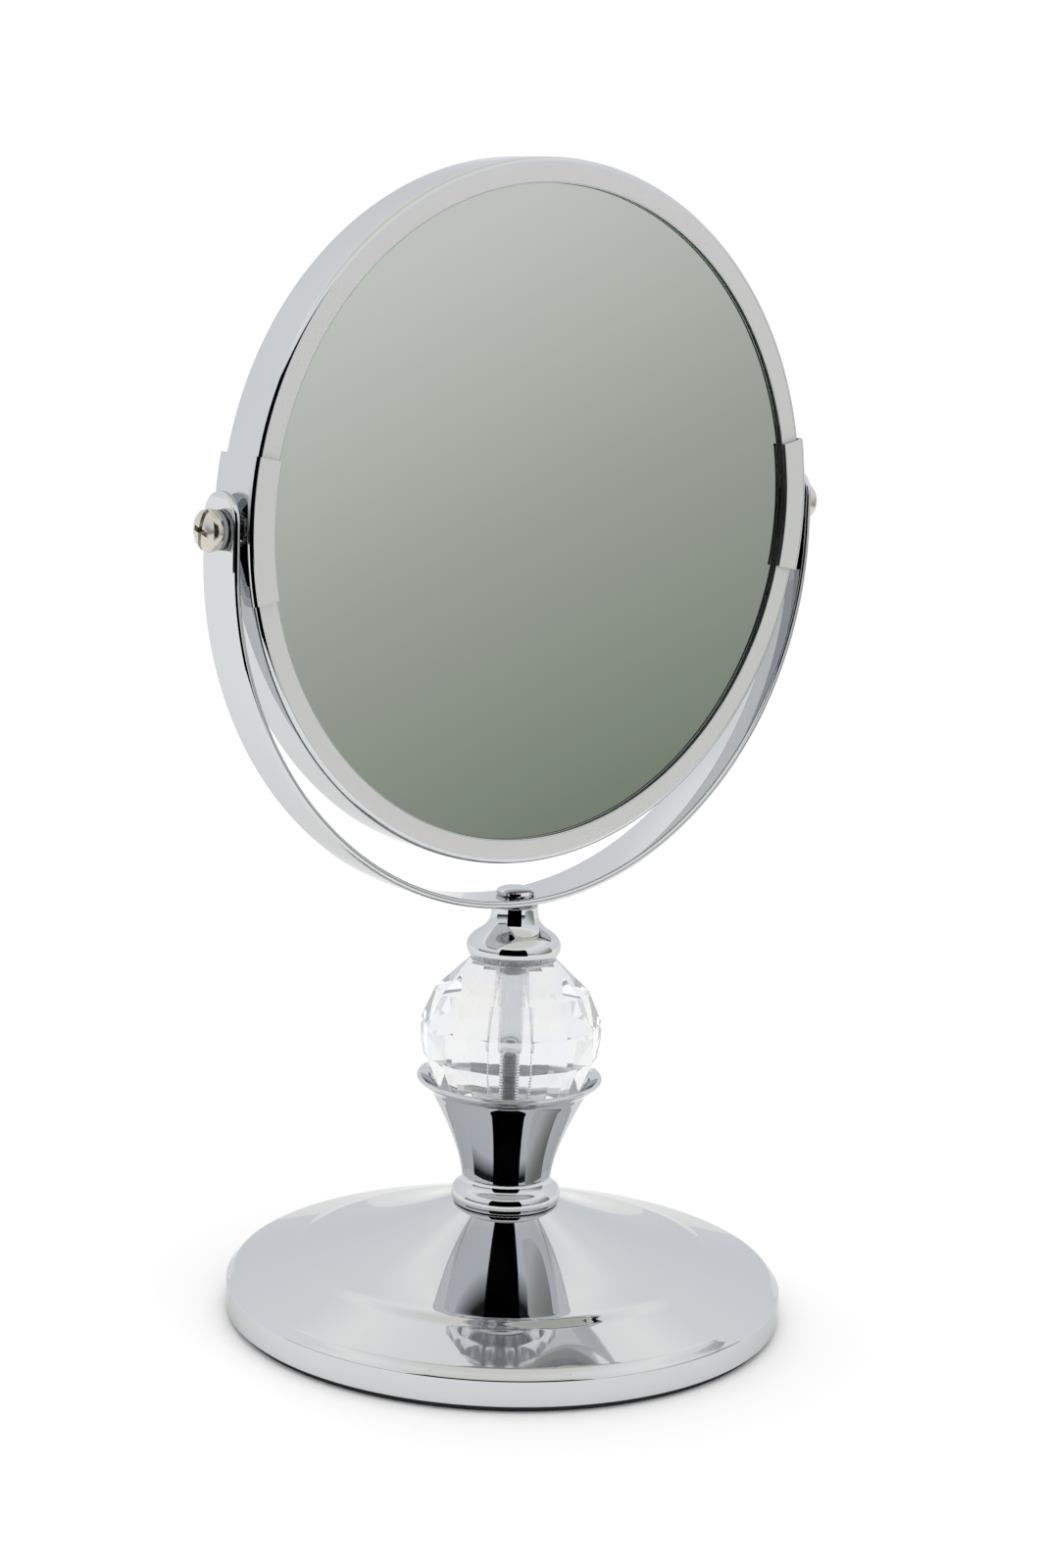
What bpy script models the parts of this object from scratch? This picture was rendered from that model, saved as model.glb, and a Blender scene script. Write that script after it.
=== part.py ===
"""A free-standing vanity mirror: a two-sided round mirror that tilts in a U-shaped yoke.

The yoke stands on a turned stem (bell cap, faceted crystal ball and flared cup) over a
weighted round base. Sizes are in millimetres and MM turns them into Blender's metres.
The Z axis runs up the stem from the middle of the base, the tilt axis is parallel to X,
and the plain mirror faces -Y.
"""

from math import asin, cos, hypot, pi, radians, sin

import bmesh
import bpy
from mathutils import Matrix, Vector

MM = 0.001
GAP = 0.3  # clearance between touching pieces
MERGE = 0.00001

# Head: a rolled channel ring that holds two mirrors back to back
PIVOT_HEIGHT = 202.0
RING_RADIUS = 85.0
RING_DEPTH = 13.4
RING_WALL = 0.9
RING_CORNER = 0.9
BEZEL_RADIUS = 78.9
GLASS_RADIUS = 82.5
FRONT_GLASS = 3.0
REAR_GLASS = 2.0
REAR_CURVE = 900.0  # radius of the magnifying mirror's face
BOARD_THICKNESS = 1.5
SPACER_RADIUS = 76.0
SPACER_THICKNESS = 3.0
CLIP_REACH = 17.0  # above and below the tilt axis
CLIP_WALL = 0.8
CLIP_GAP = 0.2

# Pivots
SCREW_RADIUS = 2.3
SCREW_HOLE = 2.7
SCREW_HEAD_RADIUS = 4.95
SCREW_HEAD_HEIGHT = 3.4
SCREW_TIP = 83.2
SLOT_WIDTH = 1.3
SLOT_DEPTH = 1.3
CROSS_LENGTH = 5.0
WASHER_RADIUS = 4.6
WASHER_THICKNESS = 1.1
NUT_ACROSS = 7.6
NUT_THICKNESS = 1.0

# Yoke: a strip bent to a half circle with straight ends
YOKE_RADIUS = 89.2
YOKE_THICKNESS = 1.8
YOKE_WIDTH = 13.4
YOKE_DROP = 7.0  # centre of the half circle below the tilt axis
YOKE_ABOVE = 8.8  # ends above the tilt axis
YOKE_EDGE = 0.45
BOLT_RADIUS = 2.0
BOLT_HOLE = 2.3
BOLT_HEAD_RADIUS = 4.7
BOLT_HEAD_HEIGHT = 1.9
BOLT_TIP = 86.5

# Stem
BELL_TOP = 105.5
BELL_FOOT = 91.7
BALL_TOP = 91.4
BALL_FOOT = 53.0
BALL_FACETS = 14
BALL_TURN = 12.0  # degrees that the facets are turned about the stem
BALL_BORE = 3.05
BALL_TAP = 2.3
BALL_STEP = 68.9  # height where the upper bore meets the tapped hole
INSERT_LENGTH = 5.6
STUD_RADIUS = 2.0
STUD_TOP = 68.5
STUD_FOOT = 15.0
CUP_SEAT = 51.5
GASKET_THICKNESS = 0.9

# Base: the dome falls from the stem's seat to a soft ridge, then straight to the rim
SEAT_RADIUS = 13.4
SEAT_SLOPE = 0.46  # fall for each millimetre of radius
RIDGE_RADIUS = 50.0
RIDGE_SLOPE = 0.22  # just inside the ridge
RIDGE_BLEND = 1.6
OUTER_SLOPE = 0.32
RIM_HEIGHT = 10.2
RIM_RADIUS = 67.8
SHOULDER = 2.2
BASE_RADIUS = RIM_RADIUS + SHOULDER
DOME_STEPS = 5
SKIRT_FOOT = 1.6
SHELL_WALL = 1.1
PAD_RADIUS = 68.6
PAD_HEIGHT = 2.2
COVER_THICKNESS = 1.0
WEIGHT_RADIUS = 68.2
WEIGHT_BORE = 11.0
WEIGHT_TOP_RADIUS = 16.0

# Segments round a turned piece
FINE = 60
MEDIUM = 36
COARSE = 16

COLOURS = {  # base colour, metallic, roughness
    "chrome": ((0.78, 0.79, 0.81), 1.0, 0.08),
    "nickel": ((0.72, 0.68, 0.62), 1.0, 0.25),
    "steel": ((0.42, 0.42, 0.43), 1.0, 0.35),
    "mirror": ((0.62, 0.66, 0.61), 1.0, 0.02),
    "acrylic": ((0.95, 0.96, 0.97), 0.0, 0.02),
    "nylon": ((0.32, 0.32, 0.33), 0.0, 0.45),
    "board": ((0.30, 0.24, 0.17), 0.0, 0.85),
    "iron": ((0.16, 0.16, 0.17), 0.6, 0.6),
    "pad": ((0.02, 0.02, 0.02), 0.0, 0.8),
}


def clear_scene():
    for old in list(bpy.data.objects):
        bpy.data.objects.remove(old, do_unlink=True)


def new_collection(name):
    collection = bpy.data.collections.new(name)
    bpy.context.scene.collection.children.link(collection)
    return collection


def material(name):
    found = bpy.data.materials.get(name)
    if found:
        return found
    colour, metallic, roughness = COLOURS[name]
    made = bpy.data.materials.new(name)
    made.use_nodes = True
    shader = made.node_tree.nodes["Principled BSDF"]
    shader.inputs["Base Color"].default_value = (*colour, 1.0)
    shader.inputs["Metallic"].default_value = metallic
    shader.inputs["Roughness"].default_value = roughness
    if name == "acrylic":
        shader.inputs["Transmission Weight"].default_value = 1.0
        shader.inputs["IOR"].default_value = 1.49
    return made


def arc(centre, radius, start, end, count):
    """Points of an arc in a profile, from one angle in degrees to another."""
    points = []
    for step in range(count + 1):
        angle = radians(start + (end - start) * step / count)
        points.append((centre[0] + radius * cos(angle), centre[1] + radius * sin(angle)))
    return points


def bezier(a, b, c, d, count):
    """Points of a cubic curve in a profile, without its first one."""
    points = []
    for step in range(1, count + 1):
        t = step / count
        s = 1 - t
        weights = (s**3, 3 * s * s * t, 3 * s * t * t, t**3)
        x = sum(w * p[0] for w, p in zip(weights, (a, b, c, d)))
        z = sum(w * p[1] for w, p in zip(weights, (a, b, c, d)))
        points.append((x, z))
    return points


def place(obj, collection, slot):
    collection.objects.link(obj)
    obj.data.materials.append(material(slot))
    return obj


def baked_mesh(obj):
    """The object's mesh with its modifiers applied; the object itself is removed."""
    graph = bpy.context.evaluated_depsgraph_get()
    graph.update()
    mesh = bpy.data.meshes.new_from_object(obj.evaluated_get(graph))
    bpy.data.objects.remove(obj, do_unlink=True)
    return mesh


def shade(mesh, angle=35):
    mesh.shade_smooth()
    mesh.set_sharp_from_angle(angle=radians(angle))
    return mesh


def turned(name, profile, segments, sweep=360.0):
    """A mesh turned about Z. The profile, in millimetres, runs down its outer side."""
    points = [(x * MM, 0.0, z * MM) for x, z in profile]
    on_axis = abs(profile[0][0]) < 1e-6 and abs(profile[-1][0]) < 1e-6
    edges = [(i, i + 1) for i in range(len(points) - 1)]
    if not on_axis:
        edges.append((len(points) - 1, 0))
    line = bpy.data.meshes.new(name + "_profile")
    line.from_pydata(points, edges, [])
    obj = bpy.data.objects.new(name + "_turned", line)
    bpy.context.scene.collection.objects.link(obj)
    screw = obj.modifiers.new("Screw", "SCREW")
    screw.angle = radians(sweep)
    screw.steps = segments
    screw.render_steps = segments
    screw.use_merge_vertices = sweep == 360.0
    screw.merge_threshold = MERGE
    mesh = baked_mesh(obj)
    if sweep != 360.0:
        close_ends(mesh)
    mesh.name = name
    return shade(mesh)


def turned_ring(name, inner, outer, top, foot, segments):
    return turned(name, [(inner, top), (outer, top), (outer, foot), (inner, foot)], segments)


def close_ends(mesh):
    grid = bmesh.new()
    grid.from_mesh(mesh)
    bmesh.ops.remove_doubles(grid, verts=grid.verts, dist=MERGE)
    open_edges = [edge for edge in grid.edges if edge.is_boundary]
    bmesh.ops.holes_fill(grid, edges=open_edges, sides=0)
    bmesh.ops.recalc_face_normals(grid, faces=grid.faces)
    grid.to_mesh(mesh)
    grid.free()


def piece(name, mesh, slot, turn=None, parent=None):
    obj = place(bpy.data.objects.new(name, mesh), PARTS, slot)
    if turn:
        obj.rotation_euler = turn
    if parent:
        obj.parent = parent
    return obj


def cutter(name, mesh, matrix):
    obj = bpy.data.objects.new(name, mesh)
    CUTTERS.objects.link(obj)
    obj.matrix_world = matrix
    obj.display_type = "WIRE"
    obj.hide_render = True
    return obj


def cylinder_mesh(name, radius, length, sides):
    """A closed cylinder along Z about the origin, in millimetres."""
    grid = bmesh.new()
    bmesh.ops.create_cone(
        grid,
        cap_ends=True,
        segments=sides,
        radius1=radius * MM,
        radius2=radius * MM,
        depth=length * MM,
    )
    mesh = bpy.data.meshes.new(name)
    grid.to_mesh(mesh)
    grid.free()
    return mesh


def box_mesh(name, size):
    grid = bmesh.new()
    bmesh.ops.create_cube(grid, size=1.0)
    bmesh.ops.scale(grid, vec=Vector(size) * MM, verts=grid.verts)
    mesh = bpy.data.meshes.new(name)
    grid.to_mesh(mesh)
    grid.free()
    return mesh


def cut(obj, tool):
    boolean = obj.modifiers.new("Cut " + tool.name, "BOOLEAN")
    boolean.operation = "DIFFERENCE"
    boolean.object = tool


def dome_height(radius):
    """Height of the base's outside at a radius."""
    inside = max(0.0, RIDGE_RADIUS - radius)
    bend = (SEAT_SLOPE - RIDGE_SLOPE) / (RIDGE_RADIUS - SEAT_RADIUS)
    height = RIM_HEIGHT + OUTER_SLOPE * (RIM_RADIUS - max(radius, RIDGE_RADIUS))
    height += RIDGE_SLOPE * inside + bend * inside**2 / 2
    blend = max(0.0, RIDGE_BLEND - abs(radius - RIDGE_RADIUS))
    return height - (OUTER_SLOPE - RIDGE_SLOPE) * blend**2 / (4 * RIDGE_BLEND)


def dome_line(inner, outer, drop):
    """Points down the dome between two radii, lowered by a wall thickness."""
    reach = RIDGE_RADIUS - RIDGE_BLEND - inner
    radii = [inner + reach * step / DOME_STEPS for step in range(DOME_STEPS + 1)]
    radii += [RIDGE_RADIUS, RIDGE_RADIUS + RIDGE_BLEND, outer]
    return [(radius, dome_height(radius) - drop) for radius in radii]


def rim_centre():
    """Centre of the shoulder's rounding, which runs on smoothly from the dome."""
    return RIM_RADIUS, RIM_HEIGHT - SHOULDER * hypot(1.0, OUTER_SLOPE)


def make_base():
    pad = [(0, PAD_HEIGHT), (PAD_RADIUS, PAD_HEIGHT), (PAD_RADIUS, 0), (0, 0)]
    piece("base_pad", turned("base_pad", pad, MEDIUM), "pad")
    cover_foot = PAD_HEIGHT + GAP
    cover_top = cover_foot + COVER_THICKNESS
    cover = [(0, cover_top), (PAD_RADIUS, cover_top), (PAD_RADIUS, cover_foot), (0, cover_foot)]
    piece("base_cover", turned("base_cover", cover, MEDIUM), "steel")

    weight_foot = cover_top + GAP
    lowering = SHELL_WALL + 2 * GAP
    weight = dome_line(WEIGHT_TOP_RADIUS, RIM_RADIUS - SHOULDER, lowering)
    weight = [(WEIGHT_BORE, weight[0][1])] + weight
    weight += [(WEIGHT_RADIUS, rim_centre()[1] - GAP), (WEIGHT_RADIUS, weight_foot)]
    weight += [(WEIGHT_BORE, weight_foot)]
    piece("base_weight", turned("base_weight", weight, MEDIUM), "iron")

    inner_seat = SEAT_RADIUS - SHELL_WALL
    hole = STUD_RADIUS + GAP
    shell = [(hole, SEAT_HEIGHT)] + dome_line(SEAT_RADIUS, RIM_RADIUS, 0.0)
    shell += arc(rim_centre(), SHOULDER, 72, 0, 3) + [(BASE_RADIUS, SKIRT_FOOT)]
    shell += [(BASE_RADIUS - SHELL_WALL, SKIRT_FOOT)]
    shell += arc(rim_centre(), SHOULDER - SHELL_WALL, 0, 80, 1)
    shell += reversed(dome_line(inner_seat + 0.8, RIM_RADIUS - 2, SHELL_WALL))
    shell += [(inner_seat - 0.6, SEAT_HEIGHT - SHELL_WALL), (hole, SEAT_HEIGHT - SHELL_WALL)]
    piece("base_shell", turned("base_shell", shell, FINE), "chrome")


def make_base_fixings():
    washer_top = SEAT_HEIGHT - SHELL_WALL - GAP
    washer_foot = washer_top - 1.0
    hole = STUD_RADIUS + GAP
    washer = turned_ring("base_washer", hole, 6.0, washer_top, washer_foot, COARSE)
    piece("base_washer", washer, "steel")
    nut_top = washer_foot - GAP
    nut = turned_ring("base_nut", hole / cos(pi / 6), 4.04, nut_top, nut_top - 3.2, 6)
    piece("base_nut", nut, "steel")
    stud = [(0, STUD_TOP), (STUD_RADIUS - 0.4, STUD_TOP), (STUD_RADIUS, STUD_TOP - 0.5)]
    stud += [(STUD_RADIUS, STUD_FOOT), (0, STUD_FOOT)]
    piece("stem_stud", turned("stem_stud", stud, COARSE), "steel")


def make_cup():
    outer = [(22.3, 61.3)] + bezier((22.3, 61.3), (23.0, 61.5), (23.5, 60.9), (23.0, 60.3), 2)
    outer += bezier((23.0, 60.3), (21.0, 58.7), (19.7, 58.2), (19.2, 56.6), 3)
    outer += bezier((19.2, 56.6), (15.9, 49.9), (12.2, 43.0), (11.2, 35.2), 4)
    outer += bezier((11.2, 35.2), (11.2, 33.9), (11.9, 33.4), (12.6, 32.9), 2)
    outer += bezier((12.6, 32.9), (13.9, 32.2), (14.1, 30.0), (13.2, CUP_FOOT), 3)
    hole = STUD_RADIUS + GAP
    hollow = [(9.6, CUP_FOOT), (9.6, 36.0), (14.2, CUP_SEAT - 2.0), (hole, CUP_SEAT - 2.0)]
    bowl = [(hole, CUP_SEAT), (15.3, CUP_SEAT), (18.0, 57.2)]
    piece("stem_cup", turned("stem_cup", outer + hollow + bowl, MEDIUM), "chrome")
    foot = CUP_SEAT + GAP
    top = foot + GASKET_THICKNESS
    piece("ball_gasket", turned_ring("ball_gasket", 4.0, 10.5, top, foot, COARSE), "nylon")


def make_ball():
    outline = [(BALL_BORE, BALL_TOP), (10.9, BALL_TOP), (19.1, 83.65), (22.6, 75.55)]
    outline += [(22.6, 67.35), (19.1, 59.25), (12.4, BALL_FOOT), (BALL_TAP, BALL_FOOT)]
    outline += [(BALL_TAP, BALL_STEP - 0.7), (BALL_BORE, BALL_STEP)]
    mesh = turned("crystal_ball", outline, BALL_FACETS)
    mesh.shade_flat()
    piece("crystal_ball", mesh, "acrylic", turn=(0, 0, radians(BALL_TURN)))
    inner = BOLT_RADIUS + GAP * 0.5
    foot = BALL_TOP - INSERT_LENGTH
    bore = BALL_BORE * cos(pi / BALL_FACETS) - GAP * 0.5
    piece("ball_insert", turned_ring("ball_insert", inner, bore, BALL_TOP, foot, COARSE), "steel")


def make_bell():
    outer = [(5.0, BELL_TOP), (5.75, BELL_TOP - 0.6)]
    outer += bezier(outer[-1], (5.75, 101.5), (6.6, 99.9), (9.0, 98.4), 4)
    outer += bezier((9.0, 98.4), (11.0, 97.2), (12.6, 95.4), (11.4, 93.2), 4)
    outer += [(10.6, BELL_FOOT)]
    inner = [(9.4, BELL_FOOT), (9.4, 94.8), (4.2, 98.2), (BOLT_HOLE, 98.2), (BOLT_HOLE, BELL_TOP)]
    piece("bell_cap", turned("bell_cap", outer + inner, MEDIUM), "chrome")


def yoke_point(distance, half_turn, leg):
    """A point of the yoke's middle line, in the XZ plane below the tilt axis."""
    radius = YOKE_RADIUS - YOKE_THICKNESS / 2
    centre = PIVOT_HEIGHT - YOKE_DROP
    if distance < leg:
        return -radius, centre + leg - distance
    if distance > leg + half_turn:
        return radius, centre + distance - leg - half_turn
    angle = pi + (distance - leg) / radius
    return radius * cos(angle), centre + radius * sin(angle)


def make_yoke():
    """A strip with round ends, laid along its middle line, thickened and drilled."""
    radius = YOKE_RADIUS - YOKE_THICKNESS / 2
    leg = YOKE_DROP + YOKE_ABOVE
    half_turn = pi * radius
    length = half_turn + 2 * leg
    end = YOKE_WIDTH / 2
    rounding = [end * (1 - cos(radians(18 * step))) for step in range(6)]
    middle = [end + (leg - end) / 2, leg]
    around = [leg + half_turn * step / 36 for step in range(1, 18)]
    first_half = rounding + middle + around
    stations = first_half + [length / 2] + [length - value for value in reversed(first_half)]
    band = bmesh.new()
    bmesh.ops.create_grid(band, x_segments=len(stations) - 1, y_segments=1, size=1.0)
    band.verts.ensure_lookup_table()
    for vert in band.verts:
        column = round((vert.co.x + 1) / 2 * (len(stations) - 1))
        distance = stations[column]
        inset = max(0.0, end - min(distance, length - distance))
        half_width = (end**2 - inset**2) ** 0.5
        x, z = yoke_point(distance, half_turn, leg)
        vert.co = (x * MM, vert.co.y * half_width * MM, z * MM)
    bmesh.ops.remove_doubles(band, verts=band.verts, dist=MERGE)
    mesh = bpy.data.meshes.new("yoke")
    band.to_mesh(mesh)
    band.free()
    obj = bpy.data.objects.new("yoke_band", mesh)
    bpy.context.scene.collection.objects.link(obj)
    solidify = obj.modifiers.new("Solidify", "SOLIDIFY")
    solidify.thickness = YOKE_THICKNESS * MM
    solidify.offset = 0.0
    bevel = obj.modifiers.new("Bevel", "BEVEL")
    bevel.width = YOKE_EDGE * MM
    bevel.segments = 1
    bevel.limit_method = "ANGLE"
    bevel.angle_limit = radians(60)
    yoke = piece("yoke", shade(baked_mesh(obj)), "chrome")
    bolt_hole = cylinder_mesh("bolt_hole", BOLT_HOLE, 12, 16)
    foot = PIVOT_HEIGHT - YOKE_DROP - YOKE_RADIUS
    cut(yoke, cutter("bolt_hole", bolt_hole, Matrix.Translation((0, 0, foot * MM))))
    pivot_hole = cylinder_mesh("pivot_hole", SCREW_HOLE, 200, 16)
    across = Matrix.Translation((0, 0, PIVOT_HEIGHT * MM)) @ Matrix.Rotation(pi / 2, 4, "Y")
    cut(yoke, cutter("pivot_hole", pivot_hole, across))


def make_yoke_bolt():
    foot = PIVOT_HEIGHT - YOKE_DROP - YOKE_RADIUS + YOKE_THICKNESS + GAP
    top = foot + BOLT_HEAD_HEIGHT
    edge = (BOLT_HEAD_RADIUS, top - 1.1)
    profile = [(0, top)] + bezier((0, top), (2.6, top), (4.2, top - 0.4), edge, 3)
    profile += [(BOLT_HEAD_RADIUS, foot), (BOLT_RADIUS, foot)]
    profile += [(BOLT_RADIUS, BOLT_TIP), (0, BOLT_TIP)]
    piece("yoke_bolt", turned("yoke_bolt", profile, COARSE), "chrome")


def ring_profile(outer, inner, half_depth, wall, corner):
    """Section of a channel ring that is open towards the axis, rounded outside."""
    top = arc((outer - corner, half_depth - corner), corner, 90, 0, 2)
    bottom = arc((outer - corner, corner - half_depth), corner, 0, -90, 2)
    inside = [(inner, wall - half_depth), (outer - wall, wall - half_depth)]
    inside += [(outer - wall, half_depth - wall), (inner, half_depth - wall)]
    return [(inner, half_depth)] + top + bottom + [(inner, -half_depth)] + inside


def disc(radius, front, back):
    """Section of a flat disc. Front and back are distances in front of the head's middle."""
    return [(0, front), (radius, front), (radius, back), (0, back)]


def make_head():
    """The ring, the two mirrors and what lies between them, turned to face -Y."""
    facing = (pi / 2, 0, 0)
    half = RING_DEPTH / 2
    section = ring_profile(RING_RADIUS, BEZEL_RADIUS, half, RING_WALL, RING_CORNER)
    ring = piece("frame_ring", turned("frame_ring", section, FINE), "chrome", facing, HEAD)
    cut(ring, PIVOT_CUTTER)

    front = half - RING_WALL - GAP
    back = front - FRONT_GLASS
    glass = turned("front_mirror", disc(GLASS_RADIUS, front, back), FINE)
    piece("front_mirror", glass, "mirror", facing, HEAD)
    board_front = back - GAP
    board_back = board_front - BOARD_THICKNESS
    board = disc(GLASS_RADIUS, board_front, board_back)
    piece("backing_board", turned("backing_board", board, MEDIUM), "board", facing, HEAD)

    radii = [GLASS_RADIUS * step / 3 for step in range(4)]
    sag = GLASS_RADIUS**2 / (2 * REAR_CURVE)
    face = [(r, -front + sag - r * r / (2 * REAR_CURVE)) for r in radii]
    rear = [(r, z + REAR_GLASS) for r, z in face] + list(reversed(face))
    piece("rear_mirror", turned("rear_mirror", rear, FINE), "mirror", facing, HEAD)

    rear_gap = board_back - GAP
    rear_foot = rear_gap - SPACER_THICKNESS
    spacer = turned_ring("edge_spacer", SPACER_RADIUS, GLASS_RADIUS, rear_gap, rear_foot, MEDIUM)
    piece("edge_spacer", spacer, "board", facing, HEAD)


def make_clips():
    """A channel over the ring at each pivot."""
    outer = RING_RADIUS + CLIP_GAP + CLIP_WALL
    half = RING_DEPTH / 2 + CLIP_GAP + CLIP_WALL
    section = ring_profile(outer, BEZEL_RADIUS, half, CLIP_WALL, RING_CORNER)
    reach = asin(CLIP_REACH / outer)
    mesh = turned("clip", section, 6, sweep=2 * reach * 180 / pi)
    mesh.transform(Matrix.Rotation(-reach, 4, "Z"))
    facing = Matrix.Rotation(pi / 2, 4, "X")
    for side, turn in (("right", 0.0), ("left", pi)):
        clip = piece("clip_" + side, mesh, "chrome", parent=HEAD)
        clip.rotation_euler = (Matrix.Rotation(turn, 4, "Y") @ facing).to_euler()
        cut(clip, PIVOT_CUTTER)


def screw_mesh(head_foot):
    """A pan-head screw along Z, with its head towards +Z, placed as from the tilt centre."""
    top = head_foot + SCREW_HEAD_HEIGHT
    edge = (SCREW_HEAD_RADIUS, head_foot + 1.2)
    profile = [(0, top)] + bezier((0, top), (2.4, top), (edge[0], top - 0.3), edge, 4)
    profile += [(SCREW_HEAD_RADIUS - 0.2, head_foot), (SCREW_RADIUS, head_foot)]
    profile += [(SCREW_RADIUS, SCREW_TIP + 0.4), (SCREW_RADIUS - 0.4, SCREW_TIP), (0, SCREW_TIP)]
    return turned("pivot_screw", profile, COARSE)


def make_pivots():
    """The screw, washer and nut at each end of the tilt axis."""
    yoke_inside = YOKE_RADIUS - YOKE_THICKNESS
    washer_foot = YOKE_RADIUS + GAP * 0.7
    head_foot = washer_foot + WASHER_THICKNESS + GAP * 0.7
    washer_top = washer_foot + WASHER_THICKNESS
    nut_top = yoke_inside - GAP * 0.7
    nut_foot = nut_top - NUT_THICKNESS
    corner = NUT_ACROSS / 2 / cos(pi / 6)
    screw = screw_mesh(head_foot)
    washer = turned_ring("pivot_washer", SCREW_HOLE, WASHER_RADIUS, washer_top, washer_foot, COARSE)
    bore = SCREW_HOLE / cos(pi / 6)
    nut = turned_ring("pivot_nut", bore, corner, nut_top, nut_foot, 6)
    slot_middle = head_foot + SCREW_HEAD_HEIGHT - SLOT_DEPTH / 2 + 0.5
    slot = box_mesh("slot", (SLOT_WIDTH, 12, SLOT_DEPTH + 1))
    cross = box_mesh("cross", (CROSS_LENGTH, SLOT_WIDTH, SLOT_DEPTH + 1))
    for side, turn in (("right", pi / 2), ("left", -pi / 2)):
        outward = Matrix.Translation((0, 0, PIVOT_HEIGHT * MM)) @ Matrix.Rotation(turn, 4, "Y")
        seat = outward @ Matrix.Translation((0, 0, slot_middle * MM)) @ SLOT_TURN
        driven = piece("pivot_screw_" + side, screw, "nickel", (0, turn, 0), HEAD)
        cut(driven, cutter("slot_" + side, slot, seat))
        cut(driven, cutter("cross_" + side, cross, seat))
        piece("pivot_nut_" + side, nut, "steel", (0, turn, 0), HEAD)
        loose = piece("pivot_washer_" + side, washer, "nylon", (0, turn, 0))
        loose.location = (0, 0, PIVOT_HEIGHT * MM)


clear_scene()
SEAT_HEIGHT = dome_height(SEAT_RADIUS)
CUP_FOOT = SEAT_HEIGHT + GAP
SLOT_TURN = Matrix.Rotation(radians(78), 4, "Z")
PARTS = new_collection("vanity_mirror")
CUTTERS = new_collection("cutters")
HEAD = bpy.data.objects.new("head", None)
HEAD.location = (0, 0, PIVOT_HEIGHT * MM)
PARTS.objects.link(HEAD)
PIVOT_CUTTER = cutter(
    "wall_hole",
    cylinder_mesh("wall_hole", SCREW_HOLE, 200, 16),
    Matrix.Translation((0, 0, PIVOT_HEIGHT * MM)) @ Matrix.Rotation(pi / 2, 4, "Y"),
)
make_base()
make_base_fixings()
make_cup()
make_ball()
make_bell()
make_yoke()
make_yoke_bolt()
make_head()
make_clips()
make_pivots()
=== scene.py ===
"""Looks for the two-sided vanity mirror: fine surfaces, finishes, studio and camera.

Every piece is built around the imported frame. Lengths are in millimetres and MM turns
them into Blender's metres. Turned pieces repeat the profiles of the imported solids.
"""

from math import asin, cos, degrees, hypot, pi, radians, sin, tan

import bmesh
import bpy
from mathutils import Matrix, Quaternion, Vector


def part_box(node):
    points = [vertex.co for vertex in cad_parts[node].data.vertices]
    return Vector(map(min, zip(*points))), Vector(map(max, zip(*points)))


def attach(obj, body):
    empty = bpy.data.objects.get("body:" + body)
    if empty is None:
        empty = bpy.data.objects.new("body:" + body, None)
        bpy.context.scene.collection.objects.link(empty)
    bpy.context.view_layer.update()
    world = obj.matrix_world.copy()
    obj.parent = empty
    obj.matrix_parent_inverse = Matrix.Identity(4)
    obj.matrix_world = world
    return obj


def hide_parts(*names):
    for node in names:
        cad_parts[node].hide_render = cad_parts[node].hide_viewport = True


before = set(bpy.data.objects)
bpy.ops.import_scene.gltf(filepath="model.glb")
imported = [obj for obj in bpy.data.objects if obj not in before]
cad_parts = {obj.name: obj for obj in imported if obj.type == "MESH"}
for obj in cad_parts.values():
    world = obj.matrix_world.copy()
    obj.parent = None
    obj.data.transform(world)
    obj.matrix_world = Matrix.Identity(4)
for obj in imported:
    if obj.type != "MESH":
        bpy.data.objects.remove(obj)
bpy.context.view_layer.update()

MM = 0.001
GAP = 0.3  # clearance between touching pieces
TINY = 1e-6


def reach(node, axis):
    """Lowest and highest place of a node along an axis, in millimetres."""
    low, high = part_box(node)
    return low[axis] / MM, high[axis] / MM


# Head
PIVOT_HEIGHT = sum(reach("frame_ring", 2)) / 2
RING_RADIUS = reach("frame_ring", 0)[1]
RING_HALF = reach("frame_ring", 1)[1]
RING_WALL = 0.9
RING_CORNER = 1.25
BEZEL_RADIUS = 78.9
GLASS_RADIUS = reach("front_mirror", 0)[1]
FRONT_BACK, FRONT_FACE = sorted(-place for place in reach("front_mirror", 1))
REAR_GLASS = 2.0
REAR_CURVE = 900.0  # radius of the magnifying mirror's face
REAR_EDGE = reach("rear_mirror", 1)[1]
CLIP_RADIUS = reach("clip_right", 0)[1]
CLIP_HALF = reach("clip_right", 1)[1]
CLIP_REACH = reach("clip_right", 2)[1] - PIVOT_HEIGHT
CLIP_WALL = 0.8

# Pivots
SCREW_RADIUS = 2.3
SCREW_HOLE = 2.7
SCREW_HEAD_RADIUS = 4.95
SCREW_TIP, SCREW_TOP = reach("pivot_screw_right", 0)
WASHER_RADIUS = 4.6
NUT_ACROSS = 7.6
SLOT_WIDTH = 1.25
SLOT_DEPTH = 1.6
SLOT_LENGTH = 12.0
CROSS_LENGTH = 5.4
SLOT_TURN = 78.0
THREAD_PITCH = 0.8

# Yoke
YOKE_RADIUS = reach("yoke", 0)[1]
YOKE_THICKNESS = 1.8
YOKE_WIDTH = reach("yoke", 1)[1] * 2
YOKE_CENTRE = reach("yoke", 2)[0] + YOKE_RADIUS
YOKE_TOP = reach("yoke", 2)[1]
YOKE_EDGE = 0.85
BOLT_RADIUS = 2.0
BOLT_HOLE = 2.3
BOLT_HEAD_RADIUS = 4.7
BOLT_TIP, BOLT_TOP = reach("yoke_bolt", 2)
BOLT_THREAD_TOP = 98.0

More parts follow.
